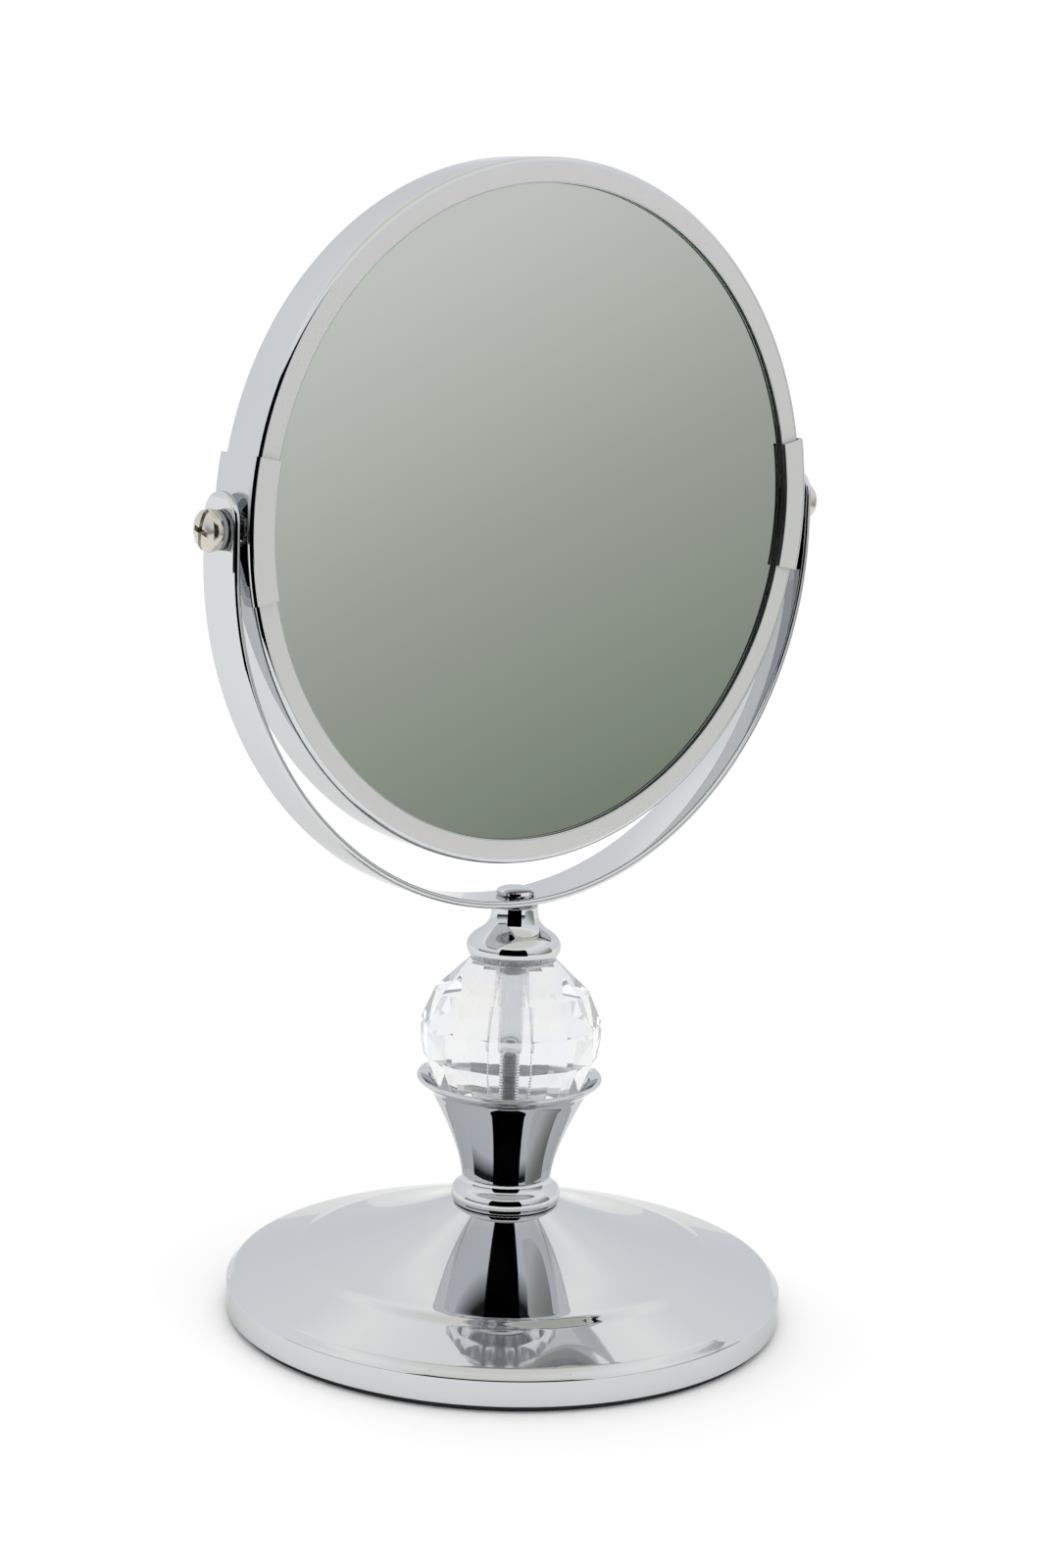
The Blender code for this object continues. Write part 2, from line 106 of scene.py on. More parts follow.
# Stem
BELL_FOOT, BELL_TOP = reach("bell_cap", 2)
BALL_FOOT, BALL_TOP = reach("crystal_ball", 2)
BALL_FACETS = 14
BALL_TURN = 12.0  # degrees that the facets are turned about the stem
BALL_BORE = 3.05
BALL_TAP = 2.3
BALL_STEP = 68.9  # height where the upper bore meets the tapped hole
STUD_RADIUS = 2.0
STUD_FOOT, STUD_TOP = reach("stem_stud", 2)
CUP_FOOT = reach("stem_cup", 2)[0]
CUP_SEAT = 51.5
GASKET_BORE = 4.0

# Base
BASE_RADIUS = reach("base_shell", 0)[1]
SKIRT_FOOT, SEAT_HEIGHT = reach("base_shell", 2)
SEAT_RADIUS = 13.4
SEAT_SLOPE = 0.46  # fall for each millimetre of radius
RIDGE_RADIUS = 50.0
RIDGE_SLOPE = 0.22  # just inside the ridge
RIDGE_BLEND = 1.6
STEP_DROP = 0.3  # extra fall just outside the ridge
STEP_WIDTH = 4.0
OUTER_SLOPE = 0.3031
DOME_STEPS = 120
RIM_HEIGHT = 10.2
SHOULDER = 2.2
RIM_RADIUS = BASE_RADIUS - SHOULDER
SHELL_WALL = 1.1
PAD_RADIUS = reach("base_pad", 0)[1]
PAD_HEIGHT = reach("base_pad", 2)[1]

# Segments round a turned piece
FINE = 240
MEDIUM = 128
COARSE = 64


def clear_startup():
    for name in ("Cube", "Light", "Camera"):
        old = bpy.data.objects.get(name)
        if old:
            bpy.data.objects.remove(old, do_unlink=True)


# ---------------------------------------------------------------- outlines


def arc(centre, radius, start, end, count):
    """Points of an arc in an outline, from one angle in degrees to another."""
    angles = [radians(start + (end - start) * step / count) for step in range(count + 1)]
    return [(centre[0] + radius * cos(a), centre[1] + radius * sin(a)) for a in angles]


def bezier(a, b, c, d, count):
    """Points of a cubic curve in an outline, without its first one."""
    points = []
    for step in range(1, count + 1):
        t = step / count
        s = 1 - t
        weights = (s**3, 3 * s * s * t, 3 * s * t * t, t**3)
        x = sum(w * p[0] for w, p in zip(weights, (a, b, c, d)))
        z = sum(w * p[1] for w, p in zip(weights, (a, b, c, d)))
        points.append((x, z))
    return points


def fillet(outline, radius, angle=35.0, count=4):
    """A closed outline with each corner sharper than the angle rounded.

    A close-set point on both sides of each rounding keeps the flat faces flat.
    """
    result = []
    size = len(outline)
    for index, point in enumerate(outline):
        here = Vector(point)
        before = Vector(outline[index - 1]) - here
        after = Vector(outline[(index + 1) % size]) - here
        on_axis = abs(point[0]) < TINY
        if on_axis or before.length < TINY or after.length < TINY:
            result.append(point)
            continue
        turn = pi - before.angle(after)
        if turn < radians(angle):
            result.append(point)
            continue
        trim = min(radius * tan(turn / 2), before.length * 0.4, after.length * 0.4)
        start = here + before.normalized() * trim
        end = here + after.normalized() * trim
        result.append(tuple(here + before.normalized() * trim * 1.2))
        for step in range(count + 1):
            t = step / count
            blend = start * (1 - t) ** 2 + here * 2 * t * (1 - t) + end * t**2
            result.append((blend.x, blend.y))
        result.append(tuple(here + after.normalized() * trim * 1.2))
    return result


# ---------------------------------------------------------------- meshes


def finished(name, grid, angle=30.0):
    """An object from a bmesh, with its faces out and its smooth stretches shaded smooth."""
    bmesh.ops.recalc_face_normals(grid, faces=grid.faces)
    mesh = bpy.data.meshes.new(name)
    grid.to_mesh(mesh)
    grid.free()
    mesh.shade_smooth()
    mesh.set_sharp_from_angle(angle=radians(angle))
    obj = bpy.data.objects.new(name, mesh)
    bpy.context.scene.collection.objects.link(obj)
    return obj


def lathe(outline, segments, sweep=360.0):
    """A closed outline of (radius, height) points turned about Z, as a bmesh."""
    whole = sweep >= 360.0
    count = segments if whole else segments + 1
    angles = [radians(sweep) * step / segments for step in range(count)]
    if not whole:
        angles = [angle - radians(sweep) / 2 for angle in angles]
    grid = bmesh.new()
    rings = []
    for radius, height in outline:
        if radius < TINY:
            rings.append([grid.verts.new((0, 0, height * MM))] * count)
            continue
        ring = [(radius * cos(a) * MM, radius * sin(a) * MM, height * MM) for a in angles]
        rings.append([grid.verts.new(place) for place in ring])
    for low, high in zip(rings, rings[1:] + rings[:1]):
        for step in range(segments):
            after = (step + 1) % count
            corners = [low[step], low[after], high[after], high[step]]
            corners = list(dict.fromkeys(corners))
            if len(corners) > 2:
                grid.faces.new(corners)
    if not whole:
        grid.faces.new([ring[0] for ring in rings])
        grid.faces.new([ring[-1] for ring in reversed(rings)])
    return grid


def turned(name, outline, segments, place=None, angle=30.0, sweep=360.0):
    """An outline turned about Z into an object, then moved to its place."""
    grid = lathe(outline, segments, sweep)
    if place:
        grid.transform(place)
    return finished(name, grid, angle)


def applied(obj):
    """Bakes the object's modifiers into its mesh."""
    graph = bpy.context.evaluated_depsgraph_get()
    graph.update()
    mesh = bpy.data.meshes.new_from_object(obj.evaluated_get(graph))
    obj.modifiers.clear()
    obj.data = mesh
    return obj


def subtract(obj, *grids):
    """Cuts each bmesh from the object."""
    tools = []
    for index, grid in enumerate(grids):
        tool = finished(f"{obj.name}_tool_{index}", grid)
        boolean = obj.modifiers.new(tool.name, "BOOLEAN")
        boolean.operation = "DIFFERENCE"
        boolean.object = tool
        tools.append(tool)
    applied(obj)
    for tool in tools:
        bpy.data.objects.remove(tool, do_unlink=True)
    return obj


def rod(radius, low, high):
    """A plain round bar along Z, as a bmesh."""
    return lathe([(0, high), (radius, high), (radius, low), (0, low)], COARSE)


def threaded(radius, low, high, pitch=THREAD_PITCH, depth=0.3):
    """Outline of a threaded length, as close-set grooves, from its top down."""
    points = []
    turns = int((high - low) / pitch)
    for turn in range(turns):
        top = high - turn * pitch
        points += [(radius, top - pitch * 0.1), (radius - depth, top - pitch * 0.5)]
        points += [(radius, top - pitch * 0.9)]
    return points


HEAD_CENTRE = Matrix.Translation((0, 0, PIVOT_HEIGHT * MM))
FACING = HEAD_CENTRE @ Matrix.Rotation(pi / 2, 4, "X")
OUTWARD = {
    "right": HEAD_CENTRE @ Matrix.Rotation(pi / 2, 4, "Y"),
    "left": HEAD_CENTRE @ Matrix.Rotation(-pi / 2, 4, "Y"),
}


def pivot_bore():
    """A long rod on the tilt axis that cuts the screw holes."""
    bore = rod(SCREW_HOLE, -120, 120)
    bore.transform(OUTWARD["right"])
    return bore


# ---------------------------------------------------------------- finishes


class Finish:
    """A Principled material with a few helpers for its nodes."""

    def __init__(self, name, colour, metallic, roughness):
        self.material = bpy.data.materials.new(name)
        self.material.use_nodes = True
        self.tree = self.material.node_tree
        self.shader = self.tree.nodes["Principled BSDF"]
        self.set("Base Color", (*colour, 1.0))
        self.set("Metallic", metallic)
        self.set("Roughness", roughness)
        self.place = self.node("ShaderNodeTexCoord").outputs["Object"]

    def node(self, kind, **settings):
        made = self.tree.nodes.new(kind)
        for key, value in settings.items():
            if hasattr(made, key):
                setattr(made, key, value)
            else:
                made.inputs[key].default_value = value
        return made

    def set(self, socket, value):
        self.shader.inputs[socket].default_value = value

    def link(self, source, target):
        self.tree.links.new(source, target)

    def noise(self, scale, detail=4.0, stretch=None):
        made = self.node("ShaderNodeTexNoise", Scale=scale, Detail=detail)
        source = self.place
        if stretch:
            mapping = self.node("ShaderNodeMapping")
            mapping.inputs["Scale"].default_value = stretch
            self.link(source, mapping.inputs["Vector"])
            source = mapping.outputs["Vector"]
        self.link(source, made.inputs["Vector"])
        return made.outputs["Fac"]

    def ramp(self, source, low, high, low_at=0.3, high_at=0.7):
        """A colour or grey ramp between two values."""
        made = self.node("ShaderNodeValToRGB")
        for stop, value, at in zip(made.color_ramp.elements, (low, high), (low_at, high_at)):
            stop.color = (*value, 1.0) if isinstance(value, tuple) else (value, value, value, 1)
            stop.position = at
        self.link(source, made.inputs["Fac"])
        return made.outputs["Color"]

    def mottle(self, source, low, high, low_at=0.3, high_at=0.7):
        """A base colour that wanders between two tints."""
        shade = self.ramp(source, low, high, low_at, high_at)
        self.link(shade, self.shader.inputs["Base Color"])

    def roughness(self, scale, low, high):
        self.link(self.ramp(self.noise(scale), low, high), self.shader.inputs["Roughness"])

    def bump(self, source, strength, distance):
        made = self.node("ShaderNodeBump", Strength=strength, Distance=distance)
        self.link(source, made.inputs["Height"])
        self.link(made.outputs["Normal"], self.shader.inputs["Normal"])


def chrome():
    """Mirror-bright plating: faint haze that comes and goes, and very slight waviness."""
    made = Finish("chrome_plate", (0.635, 0.647, 0.66), 1.0, 0.03)
    made.set("Specular Tint", (0.8, 0.8, 0.8, 1.0))
    made.roughness(90.0, 0.015, 0.05)
    made.bump(made.noise(25.0, 2.0), 0.02, 0.0004)
    return made.material


def bezel_chrome():
    """The flat rim of the ring: a satin that softens what it mirrors."""
    made = Finish("chrome_satin", (0.60, 0.60, 0.59), 0.4, 0.45)
    made.roughness(40.0, 0.43, 0.48)
    return made.material


def nickel():
    """Warm plating on the screws, with fine turning marks."""
    made = Finish("nickel_plate", (0.62, 0.585, 0.53), 1.0, 0.22)
    made.roughness(700.0, 0.14, 0.3)
    made.bump(made.noise(1500.0, 3.0), 0.08, 0.00005)
    return made.material


def zinc():
    made = Finish("zinc_plate", (0.45, 0.46, 0.48), 1.0, 0.3)
    made.mottle(made.noise(400.0), (0.34, 0.35, 0.37), (0.52, 0.53, 0.54))
    made.roughness(900.0, 0.2, 0.42)
    return made.material


def painted_shade_edge():
    """Painted shade: near-black on the narrow inner edge of the ring and clips round the glass,
    in place of the dark recess and the reflection it shows.
    """
    made = Finish("painted_shade_edge", (0.02, 0.02, 0.022), 0.3, 0.35)
    made.roughness(800.0, 0.28, 0.5)
    return made.material


def silvered():
    """Silvered glass: a green-grey tint and no haze."""
    made = Finish("silvered_glass", (0.62, 0.66, 0.62), 1.0, 0.01)
    made.mottle(made.noise(6.0, 1.0), (0.618, 0.658, 0.618), (0.622, 0.662, 0.622))
    made.set("Specular Tint", (0.8, 0.8, 0.8, 1.0))
    return made.material


def crystal():
    """Clear polished acrylic, with a trace of colour that changes from facet to facet, and a
    faint painted glow.
    """
    made = Finish("crystal", (1.0, 1.0, 1.0), 0.0, 0.0)
    made.mottle(made.noise(70.0, 1.0), (0.66, 0.69, 0.75), (0.74, 0.73, 0.70), 0.35, 0.65)
    made.set("Transmission Weight", 1.0)
    made.set("IOR", 1.39)
    # Painted glow: a faint bluish-white emission brightens the whole ball, though nothing in it
    # gives light.
    made.set("Emission Color", (0.95, 0.97, 1.0, 1.0))
    made.set("Emission Strength", 0.06)
    return made.material


def frosted_bore():
    """The drilled wall inside the ball: the same acrylic, left matt."""
    made = Finish("frosted_bore", (0.72, 0.74, 0.78), 0.0, 0.45)
    made.roughness(900.0, 0.35, 0.6)
    made.set("Transmission Weight", 1.0)
    made.set("IOR", 1.2)
    return made.material


def steel_thread():
    made = Finish("steel_thread", (0.20, 0.20, 0.21), 1.0, 0.35)
    made.roughness(600.0, 0.25, 0.5)
    return made.material


def nylon():
    made = Finish("nylon", (0.27, 0.275, 0.28), 0.0, 0.4)
    made.roughness(500.0, 0.32, 0.5)
    made.bump(made.noise(1200.0, 3.0), 0.1, 0.00004)
    return made.material


def foam():
    """Black foam rubber: fine closed cells."""
    made = Finish("foam_rubber", (0.012, 0.012, 0.013), 0.0, 0.85)
    cells = made.node("ShaderNodeTexVoronoi", Scale=1600.0)
    made.link(made.place, cells.inputs["Vector"])
    made.bump(cells.outputs["Distance"], 0.5, 0.0002)
    return made.material


def board():
    """Pressed board: mottled brown fibres."""
    made = Finish("pressed_board", (0.30, 0.23, 0.16), 0.0, 0.9)
    fibres = made.noise(350.0, 6.0, stretch=(1.0, 1.0, 3.0))
    made.mottle(fibres, (0.2, 0.15, 0.1), (0.38, 0.3, 0.21))
    made.bump(fibres, 0.3, 0.0003)
    return made.material


def cast_iron():
    made = Finish("cast_iron", (0.12, 0.12, 0.125), 0.7, 0.6)
    grain = made.noise(500.0, 5.0)
    made.mottle(grain, (0.08, 0.08, 0.085), (0.17, 0.165, 0.16))
    made.bump(grain, 0.4, 0.0004)
    return made.material


FINISHES = {
    "chrome": chrome(),
    "bezel": bezel_chrome(),
    "nickel": nickel(),
    "steel": zinc(),
    # painted shade on the inner edge of the ring and clips
    "edge": painted_shade_edge(),
    "mirror_glass": silvered(),
    "crystal": crystal(),
    "bore": frosted_bore(),
    "thread": steel_thread(),
    "nylon": nylon(),
    "pad": foam(),
    "board": board(),
    "iron": cast_iron(),
}


def piece(obj, body, slot, nodes, finish=None):
    """Gives a new piece its finish, its body and the solids that it stands for."""
    obj.data.materials.clear()
    obj.data.materials.append(FINISHES[finish or slot])
    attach(obj, body)
    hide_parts(*nodes)
    return obj


# ---------------------------------------------------------------- base


def dome_height(radius):
    """Height of the base's outside at a radius: hollow to the ridge, a step, then straight."""
    inside = max(0.0, RIDGE_RADIUS - radius)
    bend = (SEAT_SLOPE - RIDGE_SLOPE) / (RIDGE_RADIUS - SEAT_RADIUS)
    height = RIM_HEIGHT + OUTER_SLOPE * (RIM_RADIUS - max(radius, RIDGE_RADIUS))
    height += RIDGE_SLOPE * inside + bend * inside**2 / 2
    blend = max(0.0, RIDGE_BLEND - abs(radius - RIDGE_RADIUS))
    height -= (OUTER_SLOPE - RIDGE_SLOPE) * blend**2 / (4 * RIDGE_BLEND)
    along = min(max((radius - RIDGE_RADIUS) / STEP_WIDTH, 0.0), 1.0)
    return height + STEP_DROP * (1 - along**2 * (3 - 2 * along))


def make_base():
    """The dome with a narrow chamfer above its skirt, hollow inside, and the pad below."""
    width = RIM_RADIUS - SEAT_RADIUS
    radii = [SEAT_RADIUS + width * step / DOME_STEPS for step in range(DOME_STEPS + 1)]
    dome = [(radius, dome_height(radius)) for radius in radii]
    below = [(r, z - SHELL_WALL) for r, z in reversed(dome[3:-3:6])]
    hole = STUD_RADIUS + GAP
    chamfer_top, chamfer_foot = (68.3, 9.8), (69.7, 8.2)
    outline = [(hole, SEAT_HEIGHT)] + dome
    outline += bezier(dome[-1], (68.1, 10.1), (68.0, 10.1), chamfer_top, 5)
    outline += bezier(chamfer_top, (68.9, 9.2), (69.2, 8.7), chamfer_foot, 4)
    outline += bezier(chamfer_foot, (69.9, 8.0), (BASE_RADIUS, 7.9), (BASE_RADIUS, 7.6), 5)
    outline += [(BASE_RADIUS, SKIRT_FOOT), (BASE_RADIUS - SHELL_WALL, SKIRT_FOOT)]
    rim_centre = (RIM_RADIUS, RIM_HEIGHT - SHOULDER * hypot(1.0, OUTER_SLOPE))
    outline += arc(rim_centre, SHOULDER - SHELL_WALL, 0, 80, 5)
    outline += below + [(SEAT_RADIUS - 1.7, SEAT_HEIGHT - SHELL_WALL)]
    outline += [(hole, SEAT_HEIGHT - SHELL_WALL)]
    shell = turned("base_dome", fillet(outline, 0.2, 60.0), FINE)
    piece(shell, "stand", "chrome", ["base_shell"])

    pad = [(0, PAD_HEIGHT), (PAD_RADIUS, PAD_HEIGHT), (PAD_RADIUS, 0), (0, 0)]
    pad = turned("base_foam_pad", fillet(pad, 0.35), FINE)
    piece(pad, "stand", "pad", ["base_pad"])


# ---------------------------------------------------------------- stem


def make_cup():
    """The flared cup: a rolled lip, a waist and a bead at its foot."""
    outline = [(22.3, 61.3)]
    outline += bezier((22.3, 61.3), (23.0, 61.5), (23.5, 60.9), (23.0, 60.3), 8)
    outline += bezier((23.0, 60.3), (21.0, 58.7), (19.7, 58.2), (19.2, 56.6), 12)
    outline += bezier((19.2, 56.6), (15.9, 49.9), (12.2, 43.0), (11.2, 35.2), 24)
    outline += bezier((11.2, 35.2), (11.2, 33.9), (11.9, 33.4), (12.6, 32.9), 8)
    outline += bezier((12.6, 32.9), (13.9, 32.2), (14.1, 30.0), (13.2, CUP_FOOT), 16)
    hole = STUD_RADIUS + GAP
    outline += [(9.6, CUP_FOOT), (9.6, 36.0), (14.2, CUP_SEAT - 2.0), (hole, CUP_SEAT - 2.0)]
    outline += [(hole, CUP_SEAT), (15.3, CUP_SEAT), (18.0, 57.2)]
    cup = turned("flared_cup", fillet(outline, 0.25, 50.0), MEDIUM * 3 // 2)
    piece(cup, "stand", "chrome", ["stem_cup"])


def make_stud():
    """The threaded rod that holds base, cup and ball together."""
    low, high = STUD_FOOT + 0.5, STUD_TOP - 0.5
    outline = [(0, STUD_TOP), (STUD_RADIUS - 0.4, STUD_TOP)]
    outline += threaded(STUD_RADIUS, low, high)
    outline += [(STUD_RADIUS - 0.4, STUD_FOOT), (0, STUD_FOOT)]
    stud = turned("threaded_stud", outline, COARSE // 2)
    piece(stud, "stand", "steel", ["stem_stud"], finish="thread")


def make_gasket():
    """The soft ring between cup and ball."""
    low, high = reach("ball_gasket", 2)
    outer = reach("ball_gasket", 0)[1]
    ring = [(GASKET_BORE, high), (outer, high), (outer, low), (GASKET_BORE, low)]
    gasket = turned("soft_gasket", fillet(ring, 0.3), COARSE)
    piece(gasket, "stand", "nylon", ["ball_gasket"])


def make_ball():
    """The faceted ball, bored from above for the bolt and tapped from below for the stud."""
    outline = [(0, BALL_TOP), (10.9, BALL_TOP), (19.1, 83.65), (22.6, 75.55)]
    outline += [(22.6, 67.35), (19.1, 59.25), (12.4, BALL_FOOT), (0, BALL_FOOT)]
    grid = lathe(outline, BALL_FACETS)
    grid.transform(Matrix.Rotation(radians(BALL_TURN), 4, "Z"))
    edges = [edge for edge in grid.edges if min(v.co.xy.length for v in edge.verts) > 5 * MM]
    edges = [edge for edge in edges if edge.calc_length() > 2 * MM]
    bmesh.ops.bevel(grid, geom=edges, offset=0.09 * MM, segments=1, affect="EDGES")
    ball = finished("faceted_ball", grid, 4.0)
    bore = [(0, BALL_TOP + 1), (BALL_BORE, BALL_TOP + 1)]
    bore += [(BALL_BORE, BALL_STEP), (0, BALL_STEP - 0.7)]
    tap = [(0, BALL_STEP), (BALL_TAP - 0.05, BALL_STEP)]
    tap += threaded(BALL_TAP + 0.25, BALL_FOOT + 0.4, BALL_STEP - 1.0, depth=0.25)
    tap += [(BALL_TAP, BALL_FOOT - 1), (0, BALL_FOOT - 1)]
    subtract(ball, lathe(bore, COARSE), lathe(tap, COARSE // 2))
    ball.data.set_sharp_from_angle(angle=radians(9))
    piece(ball, "stand", "crystal", ["crystal_ball"])
    assign_faces(ball, "bore", in_bore)


def in_bore(face):
    """Whether a face of the ball is part of its drilled wall."""
    return face.center.xy.length < (BALL_BORE + 0.1) * MM


def make_bush():
    """The bush in the top of the ball, with a grooved outside."""
    low, high = reach("ball_insert", 2)
    outer = reach("ball_insert", 0)[1]
    inner = BOLT_RADIUS + GAP * 0.5
    outline = [(inner, high), (outer, high)] + threaded(outer, low, high, 0.9, 0.18)
    outline += [(outer, low), (inner, low)]
    bush = turned("threaded_bush", outline, COARSE)
    piece(bush, "stand", "steel", ["ball_insert"])


def make_bell():
    """The bell over the ball, hollow inside, with the neck that carries the yoke."""
    outline = [(5.0, BELL_TOP), (5.75, BELL_TOP - 0.6)]
    outline += bezier(outline[-1], (5.75, 101.5), (6.6, 99.9), (9.0, 98.4), 20)
    outline += bezier((9.0, 98.4), (11.0, 97.2), (12.6, 95.4), (11.4, 93.2), 20)
    outline += [(10.6, BELL_FOOT), (9.4, BELL_FOOT), (9.4, 94.8), (4.2, 98.2)]
    outline += [(BOLT_HOLE, 98.2), (BOLT_HOLE, BELL_TOP)]
    bell = turned("bell_cover", fillet(outline, 0.3, 32.0), MEDIUM * 3 // 2)
    piece(bell, "stand", "chrome", ["bell_cap"])


# ---------------------------------------------------------------- yoke


def yoke_point(distance, half_turn, leg):
    """A point of the yoke's middle line, in the XZ plane."""
    radius = YOKE_RADIUS - YOKE_THICKNESS / 2
    if distance < leg:
        return -radius, YOKE_CENTRE + leg - distance
    if distance > leg + half_turn:
        return radius, YOKE_CENTRE + distance - leg - half_turn
    angle = pi + (distance - leg) / radius
    return radius * cos(angle), YOKE_CENTRE + radius * sin(angle)


def yoke_section(half_width, half_thick):
    """A rounded rectangle of (width, thickness) points."""
    round_wide = min(YOKE_EDGE, half_width * 0.95)
    round_thick = min(YOKE_EDGE, half_thick * 0.95)
    points = []
    for corner in range(4):
        wide = half_width - round_wide
        thick = half_thick - round_thick
        side = 1 if corner in (0, 3) else -1
        face = 1 if corner in (0, 1) else -1
        for step in range(9):
            angle = radians(90 * corner + 90 * step / 8)
            x = side * wide + round_wide * cos(angle)
            points.append((x, face * thick + round_thick * sin(angle)))
    return points


def make_yoke():
    """A strip with round ends and rounded edges, swept along its middle line and drilled."""
    leg = YOKE_TOP - YOKE_CENTRE
    half_turn = pi * (YOKE_RADIUS - YOKE_THICKNESS / 2)
    length = half_turn + 2 * leg
    end = YOKE_WIDTH / 2
    round_end = [end * (1 - cos(radians(4.5 * step))) for step in range(1, 21)]
    straight = [end + (leg - end) * step / 4 for step in range(1, 5)]
    quarter = [leg + half_turn * step / 240 for step in range(1, 120)]
    first = round_end + straight + quarter
    stations = first + [length / 2] + [length - distance for distance in reversed(first)]
    grid = bmesh.new()
    rings = []
    for distance in stations:
        tip = min(distance, length - distance)
        inset = max(0.0, end - tip)
        half_width = (end**2 - inset**2) ** 0.5
        dip = max(0.0, YOKE_EDGE - tip)
        half_thick = YOKE_THICKNESS / 2 - YOKE_EDGE + (YOKE_EDGE**2 - dip**2) ** 0.5
        x, z = yoke_point(distance, half_turn, leg)
        outward = Vector((x, min(0.0, z - YOKE_CENTRE))).normalized()
        ring = []
        for across, out in yoke_section(half_width, half_thick):
            place = (x + outward.x * out, across, z + outward.y * out)
            ring.append(grid.verts.new([value * MM for value in place]))
        rings.append(ring)
    for one, two in zip(rings, rings[1:]):
        for index, vert in enumerate(one):
            after = (index + 1) % len(one)
            grid.faces.new((vert, one[after], two[after], two[index]))
    grid.faces.new(rings[0])
    grid.faces.new(rings[-1])
    yoke = finished("bent_yoke", grid, 40.0)
    bottom = YOKE_CENTRE - YOKE_RADIUS
    subtract(yoke, rod(BOLT_HOLE, bottom - 6, bottom + 6), pivot_bore())
    piece(yoke, "stand", "chrome", ["yoke"])


def make_bolt():
    """The bolt through the yoke's bottom: a wide, low domed head."""
    foot = YOKE_CENTRE - YOKE_RADIUS + YOKE_THICKNESS + GAP
    edge = (BOLT_HEAD_RADIUS, BOLT_TOP - 1.1)
    outline = [(0, BOLT_TOP)]
    outline += bezier((0, BOLT_TOP), (2.6, BOLT_TOP), (4.2, BOLT_TOP - 0.4), edge, 16)
    outline += [(BOLT_HEAD_RADIUS, foot), (BOLT_RADIUS, foot)]
    outline += threaded(BOLT_RADIUS, BOLT_TIP + 0.5, BOLT_THREAD_TOP)
    outline += [(BOLT_RADIUS - 0.4, BOLT_TIP), (0, BOLT_TIP)]
    bolt = turned("domed_bolt", fillet(outline, 0.2, 60.0, 3), COARSE)
    piece(bolt, "stand", "chrome", ["yoke_bolt"])


# ---------------------------------------------------------------- head


def ring_outline(outer, inner, half, wall, corner):
    """Section of a channel that is open towards the axis, rounded outside."""
    front = arc((outer - corner, half - corner), corner, 90, 0, 10)
    back = arc((outer - corner, corner - half), corner, 0, -90, 10)
    inside = [(inner, wall - half), (outer - wall, wall - half)]
    inside += [(outer - wall, half - wall), (inner, half - wall)]
    return fillet([(inner, half)] + front + back + [(inner, -half)] + inside, 0.35, 60.0, 5)


def assign_faces(obj, finish, chosen):
    """Gives the faces that the test picks a second finish."""
    obj.data.materials.append(FINISHES[finish])
    index = len(obj.data.materials) - 1
    for face in obj.data.polygons:
        if chosen(face):
            face.material_index = index


def on_inner_edge(face):
    """Whether a face of a ring or clip is the narrow edge round the glass."""
    spot = face.center - Vector((0, 0, PIVOT_HEIGHT * MM))
    distance = hypot(spot.x, spot.z)
    inward = -(face.normal.x * spot.x + face.normal.z * spot.z) / distance
    return inward > 0.9 and distance < (BEZEL_RADIUS + 1.0) * MM


def on_flat_rim(face):
    """Whether a face of a ring or clip is on its flat front or back."""
    return abs(face.normal.y) > 0.9995


def make_ring():
    outline = ring_outline(RING_RADIUS, BEZEL_RADIUS, RING_HALF, RING_WALL, RING_CORNER)
    ring = turned("channel_ring", outline, FINE, FACING)
    subtract(ring, pivot_bore())
    piece(ring, "head", "chrome", ["frame_ring"])
    assign_faces(ring, "bezel", on_flat_rim)
    # Painted shade: the narrow edge round the glass is near-black rather than chrome.
    assign_faces(ring, "edge", on_inner_edge)


def make_mirrors():
    """The plain glass in front, and behind it a disc whose outer face is hollow."""
    glass = [(0, FRONT_FACE), (GLASS_RADIUS, FRONT_FACE)]
    glass += [(GLASS_RADIUS, FRONT_BACK), (0, FRONT_BACK)]
    plain = turned("plain_mirror", fillet(glass, 0.4), FINE, FACING)
    piece(plain, "head", "mirror_glass", ["front_mirror"])

    sag = GLASS_RADIUS**2 / (2 * REAR_CURVE)
    radii = [GLASS_RADIUS * step / 48 for step in range(49)]
    face = [(r, -REAR_EDGE + sag - r * r / (2 * REAR_CURVE)) for r in radii]
    outline = [(r, z + REAR_GLASS) for r, z in face] + list(reversed(face))
    magnifier = turned("magnifying_mirror", fillet(outline, 0.3, 60.0), FINE, FACING)
    piece(magnifier, "head", "mirror_glass", ["rear_mirror"])


def make_clips():
    """A channel over the ring at each pivot."""
    outline = ring_outline(CLIP_RADIUS, BEZEL_RADIUS, CLIP_HALF, CLIP_WALL, RING_CORNER)
    sweep = 2 * degrees(asin(CLIP_REACH / CLIP_RADIUS))
    for side, turn in (("right", 0.0), ("left", pi)):
        place = HEAD_CENTRE @ Matrix.Rotation(turn, 4, "Y") @ Matrix.Rotation(pi / 2, 4, "X")
        clip = turned("pivot_channel_" + side, outline, 24, place, sweep=sweep)
        subtract(clip, pivot_bore())
        piece(clip, "head", "chrome", ["clip_" + side])
        assign_faces(clip, "bezel", on_flat_rim)
        # Painted shade: the narrow edge round the glass is near-black rather than chrome.
        assign_faces(clip, "edge", on_inner_edge)


def box_grid(size, place):
    """A block of the given size in millimetres, as a bmesh."""
    grid = bmesh.new()
    bmesh.ops.create_cube(grid, size=1.0)
    bmesh.ops.scale(grid, vec=Vector(size) * MM, verts=grid.verts)
    grid.transform(place)
    return grid


